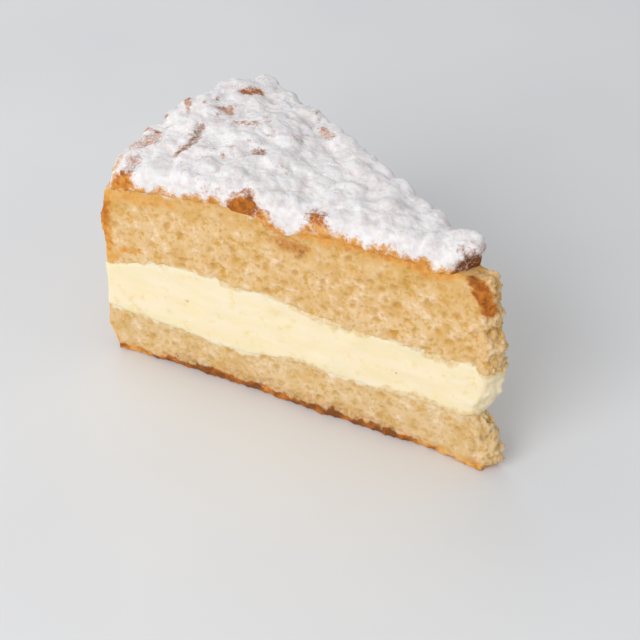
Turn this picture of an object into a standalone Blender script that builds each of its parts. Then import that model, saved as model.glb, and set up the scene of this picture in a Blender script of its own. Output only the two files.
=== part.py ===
"""A slice of cream cake with a crumb topping, standing on its base.

The slice is a wedge of a round cake: a lower sponge, a thick cream filling, an upper sponge and a layer of
baked crumbs under icing sugar. Metres, +Z up. The rim of the cake is at -X, the tip at +X, and the cut face
with the clearest layers looks towards -Y. The origin is at the middle of the base.
"""

import math
import random

import bmesh
import bpy
from mathutils import Euler, Matrix, Vector, noise

# The wedge, seen from above
CAKE_RADIUS = 0.116
HALF_ANGLE = math.radians(16.0)
APEX_X = 0.0570
TIP_HALF_WIDTH = 0.0030
TIP_SKEW = 0.0010
TIP_ROUNDING = 0.0012
RIM_CORNER_ROUNDING = 0.0014

# Heights above the plate at distances from the rim: where the layers meet, on the cut face
LOWER_SPONGE_TOP = ((0.0, 0.0172), (0.008, 0.0161), (0.021, 0.0157), (0.027, 0.0150), (0.034, 0.0135),
                    (0.040, 0.0139), (0.050, 0.0160), (0.060, 0.0168), (0.074, 0.0165), (0.082, 0.0163),
                    (0.102, 0.0167), (0.112, 0.0172))
CREAM_TOP = ((0.0, 0.0297), (0.010, 0.0326), (0.017, 0.0350), (0.024, 0.0351), (0.040, 0.0357),
             (0.0515, 0.0344), (0.063, 0.0330), (0.080, 0.0323), (0.101, 0.0328), (0.112, 0.0334))
UPPER_SPONGE_TOP = ((0.0, 0.0552), (0.013, 0.0598), (0.019, 0.0594), (0.030, 0.0618), (0.047, 0.0618),
                    (0.060, 0.0604), (0.070, 0.0616), (0.084, 0.0618), (0.095, 0.0600), (0.103, 0.0612),
                    (0.112, 0.0618))
LAYER_SWAY = 0.0010
LAYER_SWAY_SIZE = 0.033
LAYER_GAP = 0.0004
TOPPING_GAP = 0.0008

# A clump of crumbs that sank into the upper sponge at the cut face
SUNK_CLUMP_FROM_RIM = 0.0525
SUNK_CLUMP_WIDTH = 0.0050
SUNK_CLUMP_DEPTH = 0.0052
CLUMP_FILL = 0.85

# How far the wall at the rim, and the torn tip, stand out at each height
RIM_BULGE = ((0.0, 0.0), (0.003, 0.0006), (0.007, 0.0019), (0.010, 0.0029), (0.017, 0.0020),
             (0.031, 0.0013), (0.044, 0.0006), (0.050, 0.0004), (0.055, -0.0004), (0.058, -0.0012),
             (0.062, -0.0026), (0.066, -0.0046), (0.070, -0.0068))
TIP_REACH = ((0.0, 0.0016), (0.005, 0.0042), (0.009, 0.0028), (0.0125, 0.0006), (0.016, -0.0030),
             (0.0185, -0.0046), (0.0215, -0.0010), (0.025, 0.0006), (0.030, 0.0014), (0.037, 0.0010),
             (0.040, 0.0026), (0.046, 0.0), (0.056, -0.0012), (0.061, -0.0036), (0.065, -0.0056))
TOPPING_TIP_REACH = -0.0098
FOOT_SWAY = 0.0012
FOOT_HEIGHT = 0.016

# Relief: how rough each cut face is, and over what size
SPONGE_CRAG_DEPTH = 0.0007
CREAM_CRAG_DEPTH = 0.0003
TOPPING_CRAG_DEPTH = 0.0008
CRAG_SIZE = 0.0055
FINE_CRAG_SIZE = 0.45 * CRAG_SIZE
FINE_CRAG_SHARE = 0.6
TORN_CRAG_DEPTH = 0.0012

# The crumb topping's bed: thicker inside and towards the far corner at the rim, thin over the rim's shoulder
BED_THICKNESS = 0.0044
BED_EDGE_SHARE = 0.85
BED_SWELL = 0.30
BED_SWELL_SIZE = 0.011
BED_RISE = 0.0014
BED_RISE_REACH = 0.061
RIM_SHOULDER = 0.0100
RIM_EDGE_SHARE = 0.35
CORNER_SHOULDER = 0.0128
CORNER_EDGE_SHARE = 0.25
BED_EDGE_HEIGHT = 0.060

# The lumps packed over the bed
CRUMB_SMALLEST, CRUMB_LARGEST = 0.0019, 0.0046
CRUMB_SIZE_SPREAD = 0.6
CRUMB_FLATTENING = 0.62
CRUMB_FLATTENING_SPREAD = 0.15
CRUMB_LENGTH_FROM, CRUMB_LENGTH_TO = 0.95, 1.25
CRUMB_WIDTH_FROM, CRUMB_WIDTH_TO = 0.85, 1.1
CRUMB_LEAN = 0.35
CRUMB_ROUGHNESS = 0.22
CRUMB_DENT_SHARE = 0.6
CRUMB_DENT_SHIFT = 400.0
CRUMB_PACKING = 0.80
CRUMB_TRIES = 9000
CRUMB_ROUND_FROM = 0.0030
CRUMB_SINK = 0.42
CUT_OVERLAP = 0.35
RIM_SETBACK = 0.8
TIP_SETBACK = 0.6
CORNER_SETBACK = 0.0080
CRUMB_FLOOR = 0.0006
CRUMB_FLOOR_ROUNDING = 0.1
HEAP_FOOT_HEIGHT = 0.062
CUT_STANDOUT = 0.0008
CRUMB_SEED = 11

# Cells of each block along the slice, across it and up it
SPONGE_CELLS = (34, 7, 7)
LOWER_CELLS = (34, 7, 4)
CREAM_CELLS = (34, 7, 4)
TOPPING_CELLS = (26, 6, 1)


def clear_scene():
    for obj in list(bpy.data.objects):
        bpy.data.objects.remove(obj, do_unlink=True)


def food_material(name, colour, roughness):
    material = bpy.data.materials.new(name)
    material.use_nodes = True
    shader = material.node_tree.nodes["Principled BSDF"]
    shader.inputs["Base Color"].default_value = (*colour, 1.0)
    shader.inputs["Roughness"].default_value = roughness
    shader.inputs["Metallic"].default_value = 0.0
    material.diffuse_color = (*colour, 1.0)
    return material


def eased(points, at):
    """The height of a soft line through the points, at a distance along it."""
    if at <= points[0][0]:
        return points[0][1]
    for (start, low), (end, high) in zip(points, points[1:]):
        if at <= end:
            share = (at - start) / (end - start)
            return low + (high - low) * share * share * (3.0 - 2.0 * share)
    return points[-1][1]


def half_width(x):
    """Half the wedge's width at x, blunt at the tip."""
    return math.hypot(max(0.0, APEX_X - x) * math.tan(HALF_ANGLE), TIP_HALF_WIDTH)


def rim_x(y, height):
    """The wall at the rim: an arc about the apex, bulged with height."""
    radius = CAKE_RADIUS + eased(RIM_BULGE, height)
    return APEX_X - math.sqrt(radius * radius - y * y)


def outline_point(along, across, height, tip_reach):
    """The wedge's outline: along runs 0 to 1 from rim to tip, across -1 to 1 from near cut face to far."""
    end = APEX_X + tip_reach + TIP_SKEW * across - TIP_ROUNDING * across * across
    y = across * CAKE_RADIUS * math.sin(HALF_ANGLE)
    for _ in range(3):
        start = rim_x(y, height) + RIM_CORNER_ROUNDING * across ** 8
        x = start + (end - start) * along
        y = across * half_width(x)
    return x, y


def crag(place, depth):
    """An uneven step out of the surface, the same for the same place."""
    broad = noise.noise(place / CRAG_SIZE)
    fine = noise.noise(place / FINE_CRAG_SIZE + Vector((7.0, 3.0, 5.0)))
    return depth * (broad + FINE_CRAG_SHARE * fine)


def from_rim(x):
    return x - (APEX_X - CAKE_RADIUS * math.cos(HALF_ANGLE))


def from_rim_corner(x, y, side):
    """How far a place lies from a corner at the rim: side is -1 for the near one, 1 for the far one."""
    return math.hypot(from_rim(x), y - side * CAKE_RADIUS * math.sin(HALF_ANGLE))


def far_side_sway(x, y, seed):
    """The far side of a seam sways away from the line of the near side."""
    behind = 0.5 + 0.5 * max(-1.0, min(1.0, y / max(half_width(x), 1e-6)))
    return 2.0 * LAYER_SWAY * behind * noise.noise(Vector((x / LAYER_SWAY_SIZE, y / LAYER_SWAY_SIZE, seed)))


def base_height(x, y):
    return 0.0


def lower_sponge_top(x, y):
    return eased(LOWER_SPONGE_TOP, from_rim(x)) + far_side_sway(x, y, 2.0)


def cream_top(x, y):
    return eased(CREAM_TOP, from_rim(x)) + far_side_sway(x, y, 5.0)


def hollow(x, y):
    """How deep the sunk clump presses into the upper sponge."""
    off = math.hypot(from_rim(x) - SUNK_CLUMP_FROM_RIM, y + half_width(x))
    return SUNK_CLUMP_DEPTH * math.exp(-((off / SUNK_CLUMP_WIDTH) ** 2))


def crown(x, y):
    """The top of the upper sponge: low at the near corner of the rim, higher all along the rim behind it."""
    from_near_corner = from_rim_corner(x, y, -1.0) * math.cos(HALF_ANGLE)
    return eased(UPPER_SPONGE_TOP, from_near_corner) + far_side_sway(x, y, 8.0)


def upper_sponge_top(x, y):
    return crown(x, y) - hollow(x, y)


def topping_underside(x, y):
    return upper_sponge_top(x, y) + TOPPING_GAP - 0.5 * LAYER_GAP + (1.0 - CLUMP_FILL) * hollow(x, y)


def bed_top(x, y):
    """The top of the crumbs' bed, uneven, and thin over the shoulders at the rim and its near corner."""
    inside = max(0.0, 1.0 - (y / half_width(x)) ** 2)
    swell = noise.noise(Vector((x / BED_SWELL_SIZE, y / BED_SWELL_SIZE, 1.0)))
    from_wall = max(0.0, x - rim_x(y, BED_EDGE_HEIGHT))
    shoulder = min(1.0, RIM_EDGE_SHARE + (1.0 - RIM_EDGE_SHARE) * math.sqrt(from_wall / RIM_SHOULDER))
    corner = from_rim_corner(x, y, -1.0) / CORNER_SHOULDER
    shoulder *= min(1.0, CORNER_EDGE_SHARE + (1.0 - CORNER_EDGE_SHARE) * corner)
    share = BED_EDGE_SHARE + (1.0 - BED_EDGE_SHARE) * inside + BED_SWELL * swell
    rise = BED_RISE * math.exp(-((from_rim_corner(x, y, 1.0) / BED_RISE_REACH) ** 2))
    return crown(x, y) + BED_THICKNESS * share * shoulder + rise


def above(surface, gap):
    def raised(x, y):
        return surface(x, y) + gap

    return raised


def block(cells):
    """A closed cube from 0 to 1, cut into cells along each side."""
    mesh = bmesh.new()
    bmesh.ops.create_cube(mesh, size=1.0, matrix=Matrix.Translation((0.5, 0.5, 0.5)))
    for axis, count in enumerate(cells):
        along = [e for e in mesh.edges if abs((e.verts[0].co - e.verts[1].co)[axis]) > 1e-6]
        bmesh.ops.subdivide_edges(mesh, edges=along, cuts=count - 1, use_grid_fill=True)
    return mesh


def layer(name, cells, floor, ceiling, depth, torn_depth, material, tip_reach=None):
    """One layer of the slice: a block bent to the wedge between two surfaces, with rough sides."""
    mesh = block(cells)
    for vert in mesh.verts:
        along, across, up = vert.co.x, 2.0 * vert.co.y - 1.0, vert.co.z
        low, high = floor(0.0, 0.0), ceiling(0.0, 0.0)
        for _ in range(3):
            height = low + (high - low) * up
            reach = eased(TIP_REACH, height) if tip_reach is None else tip_reach
            x, y = outline_point(along, across, height, reach)
            low, high = floor(x, y), ceiling(x, y)
        place = Vector((x, y, height))
        out = Vector((0.0, 0.0, 0.0))
        if abs(across) > 0.999:
            out.y = math.copysign(1.0, across)
        if along < 0.001 or along > 0.999:
            out.x = math.copysign(1.0, along - 0.5)
        x += out.x * crag(place, torn_depth if along > 0.999 else depth)
        y += out.y * crag(place, depth)
        if across < -0.999 and height < FOOT_HEIGHT:
            foot = 1.0 - height / FOOT_HEIGHT
            y += foot * FOOT_SWAY * math.sin(2.0 * math.pi * from_rim(x) / CAKE_RADIUS) * (1.0 - along)
        vert.co = (x, y, floor(x, y) + (ceiling(x, y) - floor(x, y)) * up)
    bmesh.ops.triangulate(mesh, faces=mesh.faces, quad_method="SHORT_EDGE")
    return finished(name, mesh, material)


def finished(name, mesh, material):
    data = bpy.data.meshes.new(name)
    bmesh.ops.recalc_face_normals(mesh, faces=mesh.faces)
    mesh.to_mesh(data)
    mesh.free()
    data.materials.append(material)
    obj = bpy.data.objects.new(name, data)
    bpy.context.scene.collection.objects.link(obj)
    return obj


def crumb_places():
    """Spots for the lumps, large ones first, packed as close as the packing share lets them."""
    draw = random.Random(CRUMB_SEED)
    places = []
    for attempt in range(CRUMB_TRIES):
        share = (1.0 - attempt / CRUMB_TRIES) * draw.uniform(CRUMB_SIZE_SPREAD, 1.0)
        radius = CRUMB_SMALLEST + (CRUMB_LARGEST - CRUMB_SMALLEST) * share
        x = draw.uniform(APEX_X - CAKE_RADIUS, APEX_X + TOPPING_TIP_REACH)
        y = draw.uniform(-1.0, 1.0) * CAKE_RADIUS * math.sin(HALF_ANGLE)
        if abs(y) > half_width(x) - CUT_OVERLAP * radius:
            continue
        if x < rim_x(y, HEAP_FOOT_HEIGHT) + RIM_SETBACK * radius:
            continue
        if x > APEX_X + TOPPING_TIP_REACH - TIP_SETBACK * radius:
            continue
        if from_rim_corner(x, y, -1.0) < CORNER_SETBACK:
            continue
        if all(math.hypot(x - px, y - py) > CRUMB_PACKING * (radius + pr) for px, py, pr in places):
            places.append((x, y, radius))
    return places


def crumb(place, radius, draw):
    """One baked crumb: a rough ball with few sides."""
    mesh = bmesh.new()
    if radius > CRUMB_ROUND_FROM:
        bmesh.ops.create_uvsphere(mesh, u_segments=6, v_segments=4, radius=radius)
    else:
        bmesh.ops.create_icosphere(mesh, subdivisions=1, radius=radius)
    flat = CRUMB_FLATTENING * draw.uniform(1.0 - CRUMB_FLATTENING_SPREAD, 1.0 + CRUMB_FLATTENING_SPREAD)
    long = draw.uniform(CRUMB_LENGTH_FROM, CRUMB_LENGTH_TO)
    wide = draw.uniform(CRUMB_WIDTH_FROM, CRUMB_WIDTH_TO)
    stretch = Matrix.Diagonal((long, wide, flat, 1.0))
    turn = Euler([draw.uniform(-most, most) for most in (CRUMB_LEAN, CRUMB_LEAN, math.pi)]).to_matrix().to_4x4()
    mesh.transform(Euler([draw.uniform(0.0, math.tau) for _ in range(3)]).to_matrix().to_4x4())
    for vert in mesh.verts:
        dent = noise.noise(vert.co / (CRUMB_DENT_SHARE * radius) + place * CRUMB_DENT_SHIFT)
        vert.co *= 1.0 + CRUMB_ROUGHNESS * dent
    bmesh.ops.transform(mesh, matrix=Matrix.Translation(place) @ turn @ stretch, verts=mesh.verts)
    for vert in mesh.verts:
        lowest = topping_underside(vert.co.x, vert.co.y) + CRUMB_FLOOR
        vert.co.z = max(vert.co.z, lowest + CRUMB_FLOOR_ROUNDING * (vert.co.z - place.z) * CRUMB_FLOOR / radius)
        side = half_width(vert.co.x) + CUT_STANDOUT
        vert.co.y = max(-side, min(side, vert.co.y))
    return mesh


def crumb_topping(material):
    """The bed with every crumb fused on by one union."""
    bed = layer("crumb_topping", TOPPING_CELLS, topping_underside, bed_top, TOPPING_CRAG_DEPTH,
                TOPPING_CRAG_DEPTH, material, TOPPING_TIP_REACH)
    heap = bpy.data.collections.new("crumbs")
    bpy.context.scene.collection.children.link(heap)
    draw = random.Random(CRUMB_SEED + 1)
    for x, y, radius in crumb_places():
        z = bed_top(x, y) + radius * CRUMB_FLATTENING * (0.5 - CRUMB_SINK)
        mesh = crumb(Vector((x, y, z)), radius, draw)
        data = bpy.data.meshes.new("crumb")
        mesh.to_mesh(data)
        mesh.free()
        heap.objects.link(bpy.data.objects.new("crumb", data))
    union = bed.modifiers.new("fuse crumbs", "BOOLEAN")
    union.operation = "UNION"
    union.operand_type = "COLLECTION"
    union.collection = heap
    union.solver = "MANIFOLD"
    bpy.context.view_layer.update()
    graph = bpy.context.evaluated_depsgraph_get()
    fused = bpy.data.meshes.new_from_object(bed.evaluated_get(graph))
    bed.modifiers.clear()
    bed.data = fused
    for obj in list(heap.objects):
        bpy.data.objects.remove(obj, do_unlink=True)
    bpy.data.collections.remove(heap)
    return bed


def main():
    clear_scene()
    sponge = food_material("golden sponge", (0.80, 0.55, 0.26), 0.9)
    cream = food_material("lemon cream", (0.95, 0.85, 0.56), 0.45)
    sugared = food_material("sugared crumbs", (0.88, 0.85, 0.82), 0.95)
    layer("lower_sponge", LOWER_CELLS, base_height, above(lower_sponge_top, -0.5 * LAYER_GAP),
          SPONGE_CRAG_DEPTH, TORN_CRAG_DEPTH, sponge)
    layer("cream_filling", CREAM_CELLS, above(lower_sponge_top, 0.5 * LAYER_GAP),
          above(cream_top, -0.5 * LAYER_GAP), CREAM_CRAG_DEPTH, TORN_CRAG_DEPTH, cream)
    layer("upper_sponge", SPONGE_CELLS, above(cream_top, 0.5 * LAYER_GAP),
          above(upper_sponge_top, -0.5 * LAYER_GAP), SPONGE_CRAG_DEPTH, TORN_CRAG_DEPTH, sponge)
    crumb_topping(sugared)


main()
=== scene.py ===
import math
import random

import bmesh
import bpy
from mathutils import Euler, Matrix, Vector, noise
from mathutils.bvhtree import BVHTree


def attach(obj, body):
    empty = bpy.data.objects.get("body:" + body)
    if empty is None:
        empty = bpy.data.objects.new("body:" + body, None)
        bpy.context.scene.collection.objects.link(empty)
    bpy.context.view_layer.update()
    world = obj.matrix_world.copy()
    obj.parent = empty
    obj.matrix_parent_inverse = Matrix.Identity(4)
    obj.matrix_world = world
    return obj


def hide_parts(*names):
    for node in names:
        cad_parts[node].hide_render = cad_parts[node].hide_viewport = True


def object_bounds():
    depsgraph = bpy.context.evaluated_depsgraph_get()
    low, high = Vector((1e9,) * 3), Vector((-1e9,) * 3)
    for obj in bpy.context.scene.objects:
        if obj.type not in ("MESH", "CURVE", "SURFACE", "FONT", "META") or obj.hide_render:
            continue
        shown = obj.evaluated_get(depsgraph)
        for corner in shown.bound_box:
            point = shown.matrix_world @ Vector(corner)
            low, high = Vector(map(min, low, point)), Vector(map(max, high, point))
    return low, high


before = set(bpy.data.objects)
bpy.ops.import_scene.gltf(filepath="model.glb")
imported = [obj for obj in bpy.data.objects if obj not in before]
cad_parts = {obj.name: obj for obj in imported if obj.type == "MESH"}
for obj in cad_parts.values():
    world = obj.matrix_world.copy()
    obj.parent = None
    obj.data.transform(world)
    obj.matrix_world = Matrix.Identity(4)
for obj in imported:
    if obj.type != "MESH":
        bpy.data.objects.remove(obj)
cad_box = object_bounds()


# The lower sponge: the bottom layer of the round cake, a butter sponge baked in a tin and cut right through.
# Its cut faces show open crumb with small round pores. Its foot is the thin brown crust that lay on the tin,
# and its curved wall is the golden crust that lay against the side of the tin.

# The mesh's cells, and which way a face looks when it is upright, on the wall, or lying flat
SPONGE_CELL = 0.00075
UPRIGHT_BELOW = 0.75
WALL_LOOKS_BACK = -0.6
SKIN_FROM, SKIN_TO = -0.3, -0.7
FLAT_FROM, FLAT_TO = 0.55, 0.85
FOOT_CLEARANCE = 0.002

# The open crumb: size and height of its lumps, how much each paints highlight and shade into its colour, and
# its pits
CLUMP_SIZE, CLUMP_HEIGHT, CLUMP_SHADE = 0.0040, 0.00030, 0.5
FLAKE_SIZE, FLAKE_HEIGHT, FLAKE_SHADE = 0.0020, 0.00024, 0.4
GRIT_SIZE, GRIT_HEIGHT, GRIT_SHADE = 0.0010, 0.00012, 0.15
PORE_SIZE, PORE_DEPTH, PORE_SHARE, PORE_SHADE = 0.0015, 0.00032, 0.30, 0.7
HOLE_SIZE, HOLE_DEPTH, HOLE_SHARE = 0.0034, 0.00050, 0.05
PIT_RIM, PIT_FLOOR = 0.50, 0.12
PIT_SCATTER = 37.0
CRUMB_SQUASH = 1.15
CRUMB_BEND_SIZE, CRUMB_BEND = 0.0012, 0.0005
SKIN_CALM, SMEAR_CALM = 0.65, 0.8

# The torn end
TORN_FROM_X, TORN_FADE = 0.0480, 0.006
TEAR_SIZE, TEAR_HEIGHT = 0.0034, 0.00065
SHRED_SIZE, SHRED_HEIGHT = 0.0015, 0.00055
SPLINTER_SIZE, SPLINTER_HEIGHT = 0.0008, 0.00055

# The crust of the wall, as deep as it is seen on the cut face, and its ragged inner edge
LOWER_WALL_CRUST, UPPER_WALL_CRUST = 0.0018, 0.0050
LOWER_WALL_BROWNING, UPPER_WALL_BROWNING = 0.16, 0.40
WALL_SWAY_SIZE, WALL_SWAY = 0.0050, 0.50
WALL_FRAY_SIZE, WALL_FRAY = 0.0016, 0.35
WALL_REACH = 0.006

# The crust of the foot, thickest along the middle of the slice, with specks above it
FOOT_CRUST_THIN, FOOT_CRUST_THICK = 0.0028, 0.0044
FOOT_CRUST_MIDDLE, FOOT_CRUST_LENGTH = -0.0020, 0.0430
FOOT_SWAY_SIZE, FOOT_SWAY = 0.0055, 0.0011
FOOT_RAGGED_SIZE, FOOT_RAGGED = 0.0018, 0.0012
FOOT_FRAY_SIZE, FOOT_FRAY = 0.0009, 0.0007
FOOT_BROWNING, FOOT_MIDDLE_BROWNING = 0.50, 0.46
FOOT_PATCH_SIZE, FOOT_PATCH_BROWNING = 0.0028, 0.55
FOOT_SPECKS, FOOT_SPECKS_REACH = 0.33, 1.9

# The baked band under the crumbs, the gold below it and the sugar that fell on it
TOP_CRUST_THIN, TOP_CRUST_THICK = 0.0024, 0.0058
TOP_CRUST_FAINT = 0.45
TOP_CRUST_BROWNING = 0.47
TOP_CRUST_STRONG_FROM, TOP_CRUST_STRONG_TO = 0.0110, 0.0440
TOP_CRUST_FADE_IN, TOP_CRUST_FADE_OUT = 0.006, 0.004
TOP_PATCH_SIZE, TOP_PATCH = 0.010, 0.6
TOP_SWAY_SIZE, TOP_SWAY = 0.0035, 0.0012
TOP_FRAY_SIZE, TOP_FRAY = 0.0013, 0.0006
TOP_REACH = 0.012
GOLD_DEPTH = 0.0100
DUST_SWAY_SIZE = 0.0040
DUST_REACH, DUST_COVER = 0.0018, 0.55

# The seam with the cream, and how far a place is from a neighbour before it lies open
SEAM_SWAY_SIZE, SEAM_SWAY, SEAM_SWITCH = 0.0085, 0.0014, 0.22
SEAM_RAGGED_SIZE, SEAM_RAGGED = 0.0024, 0.0014
SEAM_SOFTNESS = 0.0014
SEAM_FILL, SEAM_PULL, SEAM_REACH = 0.00005, 0.00040, 0.0016
SEAM_FULL_SHARE, SEAM_TOUCH = 0.3, 0.0002
CREAM_REACH = 0.006
EXPOSED_FROM = 0.0016

# Single spots that browned more, and one with painted shade of a hollow: start, end, width, how browned, how
# much of the crumb is crust there
MARK_SWAY_SIZE, MARK_SWAY = 0.0020, 0.5
MARK_FRAY_SIZE, MARK_FRAY = 0.0009, 0.3
MARK_EDGE, MARK_CORE = 1.7, 0.2
MARK_BROWN_EDGE, MARK_BROWN_CORE = 2.2, 1.0
SPONGE_MARKS = {
    "crust left at the tip": ((0.0515, -0.0040, 0.0612), (0.0562, -0.0022, 0.0530), 0.0025, 0.80, 1.00),
    "brown edge at the rim": ((-0.0525, -0.0315, 0.0520), (-0.0530, -0.0315, 0.0470), 0.0020, 0.60, 0.90),
    "lower edge at the rim": ((-0.0525, -0.0315, 0.0440), (-0.0530, -0.0315, 0.0370), 0.0013, 0.50, 0.80),
    "gold by the rim": ((-0.0530, -0.0316, 0.0550), (-0.0330, -0.0265, 0.0572), 0.0024, 0.36, 0.62),
    # The next spot paints the shade of a hollow in the crumb with crust colour; the relief carves no hollow
    # there
    "hollow at the rim": ((-0.0485, -0.0303, 0.0374), (-0.0438, -0.0289, 0.0384), 0.0011, 0.46, 0.75),
    "under the sunk clump": ((-0.0010, -0.0170, 0.0556), (0.0042, -0.0156, 0.0543), 0.0030, 0.80, 0.50),
}


def soft_step(low, high, value):
    """0 below low, 1 above high, and a soft climb between them; low may be the larger."""
    share = max(0.0, min(1.0, (value - low) / (high - low)))
    return share * share * (3.0 - 2.0 * share)


def grain(place, size, shift=0.0):
    """Smooth noise from about -1 to 1, with grains of a given size; each shift gives another pattern."""
    return noise.noise(place / size + Vector((shift, 1.7 * shift, 2.3 * shift)))


def settle(piece):
    """Applies the piece's modifiers to its mesh."""
    bpy.context.view_layer.update()
    graph = bpy.context.evaluated_depsgraph_get()
    old = piece.data
    data = bpy.data.meshes.new_from_object(piece.evaluated_get(graph))
    piece.modifiers.clear()
    piece.data = data
    bpy.data.meshes.remove(old)
    data.name = piece.name


def soften(piece, rounds):
    """Rounds off edges and evens out the cells."""
    smooth = piece.modifiers.new("rounded edges", "SMOOTH")
    smooth.factor = 0.5
    smooth.iterations = rounds
    settle(piece)


def even_cells(piece, cell):
    """Meshes a closed piece again with small even cells."""
    remesh = piece.modifiers.new("even cells", "REMESH")
    remesh.mode = "VOXEL"
    remesh.voxel_size = cell
    remesh.use_smooth_shade = True
    settle(piece)


def dense_copy(node, name, cell):
    """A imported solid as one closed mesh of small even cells."""
    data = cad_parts[node].data.copy()
    mesh = bmesh.new()
    mesh.from_mesh(data)
    bmesh.ops.remove_doubles(mesh, verts=mesh.verts, dist=1e-6)
    mesh.to_mesh(data)
    mesh.free()
    data.materials.clear()
    piece = bpy.data.objects.new(name, data)
    bpy.context.scene.collection.objects.link(piece)
    even_cells(piece, cell)
    return piece


def refine_sides(piece):
    """Halves the cells of the upright faces and of the torn end, which carry the finest relief."""
    mesh = bmesh.new()
    mesh.from_mesh(piece.data)
    sides = [face for face in mesh.faces
             if abs(face.normal.z) < UPRIGHT_BELOW or face.calc_center_median().x > TORN_FROM_X]
    edges = list({edge for face in sides for edge in face.edges})
    bmesh.ops.subdivide_edges(mesh, edges=edges, cuts=1, use_grid_fill=True)
    mesh.to_mesh(piece.data)
    mesh.free()


def solid_tree(node, keeps=None):
    """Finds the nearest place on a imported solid, or on those of its faces that a test keeps."""
    mesh = bmesh.new()
    mesh.from_mesh(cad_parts[node].data)
    if keeps is not None:
        dropped = [face for face in mesh.faces if not keeps(face)]
        bmesh.ops.delete(mesh, geom=dropped, context="FACES_ONLY")
    tree = BVHTree.FromBMesh(mesh)
    mesh.free()
    return tree


def on_wall(face):
    """Whether a face belongs to the curved wall that lay against the tin."""
    return face.normal.x < WALL_LOOKS_BACK


def away(tree, place, reach):
    """The distance from a place to a solid, up to the reach."""
    found = tree.find_nearest(place, reach)
    return reach if found[3] is None else found[3]


def seam_step(tree, place, normal, outward, towards, reach):
    """A step that closes the seam beside a solid: out of the face, and up or down towards that solid."""
    found = tree.find_nearest(place, reach)
    if found[3] is None:
        return Vector((0.0, 0.0, 0.0))
    near = soft_step(reach, SEAM_FULL_SHARE * reach, found[3])
    step = Vector((normal.x, normal.y, 0.0)) * outward
    step.z = math.copysign(towards, found[0].z - place.z) * soft_step(0.0, SEAM_TOUCH, found[3])
    return step * near


def paint(piece, values):
    """Keeps a number for each vertex, which the material reads by name."""
    for name, numbers in values.items():
        layer = piece.data.attributes.new(name, "FLOAT", "POINT")
        layer.data.foreach_set("value", numbers)


def pits(place, size, share):
    """Rounded pits in some of the cells of a foam: 0 between the pits, up to 1 in their middle."""
    distances, centres = noise.voronoi(place / size)
    if noise.cell(centres[0] * PIT_SCATTER) > share:
        return 0.0
    return soft_step(PIT_RIM, PIT_FLOOR, distances[0])


def crumb_at(place):
    """The open crumb: how far it stands out at a place, that relief as 0 to 1, which is painted into the
    colour as highlight and shade, and how deep in a pore, which is painted as shade.
    """
    flat = Vector((place.x, place.y, CRUMB_SQUASH * place.z))
    bent = flat + CRUMB_BEND * Vector([grain(flat, CRUMB_BEND_SIZE, shift) for shift in (3.0, 5.0, 7.0)])
    clump = grain(flat, CLUMP_SIZE)
    flake = grain(flat, FLAKE_SIZE, 3.0)
    grit = grain(flat, GRIT_SIZE, 5.0)
    pore = pits(bent, PORE_SIZE, PORE_SHARE)
    hole = pits(bent, HOLE_SIZE, HOLE_SHARE)
    lift = CLUMP_HEIGHT * clump + FLAKE_HEIGHT * flake + GRIT_HEIGHT * grit
    lift = lift - PORE_DEPTH * pore - HOLE_DEPTH * hole
    shade = 0.5 + CLUMP_SHADE * clump + FLAKE_SHADE * flake + GRIT_SHADE * grit
    return lift, shade, min(1.0, PORE_SHADE * pore + hole)


def seam_wander(place):
    """How far the cream's edge wanders from the seam: above 0 into the sponge, below 0 back from it."""
    side = soft_step(-SEAM_SWITCH, SEAM_SWITCH, grain(place, SEAM_SWAY_SIZE, 19.0))
    return SEAM_SWAY * (2.0 * side - 1.0) + SEAM_RAGGED * grain(place, SEAM_RAGGED_SIZE, 20.0)


def torn_at(place):
    """Ragged relief where the thin end of the slice broke off."""
    torn = soft_step(TORN_FROM_X, TORN_FROM_X + TORN_FADE, place.x)
    if torn == 0.0:
        return 0.0
    ragged = TEAR_HEIGHT * grain(place, TEAR_SIZE, 13.0) + SHRED_HEIGHT * grain(place, SHRED_SIZE, 14.0)
    return torn * (ragged + SPLINTER_HEIGHT * grain(place, SPLINTER_SIZE, 14.5))


def foot_crust_at(place):
    """The crust at the foot of the cake: how much of the crumb it is at a place, and how baked it is."""
    along = abs(place.x - FOOT_CRUST_MIDDLE) / FOOT_CRUST_LENGTH
    thickness = FOOT_CRUST_THIN + (FOOT_CRUST_THICK - FOOT_CRUST_THIN) * soft_step(1.0, 0.6, along)
    ragged = FOOT_SWAY * grain(place, FOOT_SWAY_SIZE, 15.0)
    ragged += FOOT_RAGGED * grain(place, FOOT_RAGGED_SIZE, 16.0)
    height = place.z + ragged + FOOT_FRAY * grain(place, FOOT_FRAY_SIZE, 15.5)
    baked = FOOT_BROWNING + FOOT_MIDDLE_BROWNING * soft_step(1.15, 0.7, along)
    baked += FOOT_PATCH_BROWNING * grain(place, FOOT_PATCH_SIZE, 16.5)
    speckled = FOOT_SPECKS * soft_step(FOOT_SPECKS_REACH * thickness, thickness, height)
    return max(speckled, soft_step(thickness, 0.3 * thickness, height)), baked


def from_streak(place, start, end, width):
    """How far a place lies from a streak between two places, in widths of the streak."""
    first, last = Vector(start), Vector(end)
    share = max(0.0, min(1.0, (place - first).dot(last - first) / max(1e-12, (last - first).length_squared)))
    return (place - first.lerp(last, share)).length / width


def marks_at(place):
    """Single spots that browned more: how much of the crumb is crust there, and how baked it is."""
    crust, baked = 0.0, 0.0
    for start, end, width, browned, covered in SPONGE_MARKS.values():
        off = from_streak(place, start, end, width)
        ragged = MARK_SWAY * grain(place, MARK_SWAY_SIZE, 18.0)
        off += ragged + MARK_FRAY * grain(place, MARK_FRAY_SIZE, 18.5)
        crust = max(crust, covered * soft_step(MARK_EDGE, MARK_CORE, off))
        baked = max(baked, browned * soft_step(MARK_BROWN_EDGE, MARK_BROWN_CORE, off))
    return crust, baked


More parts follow.
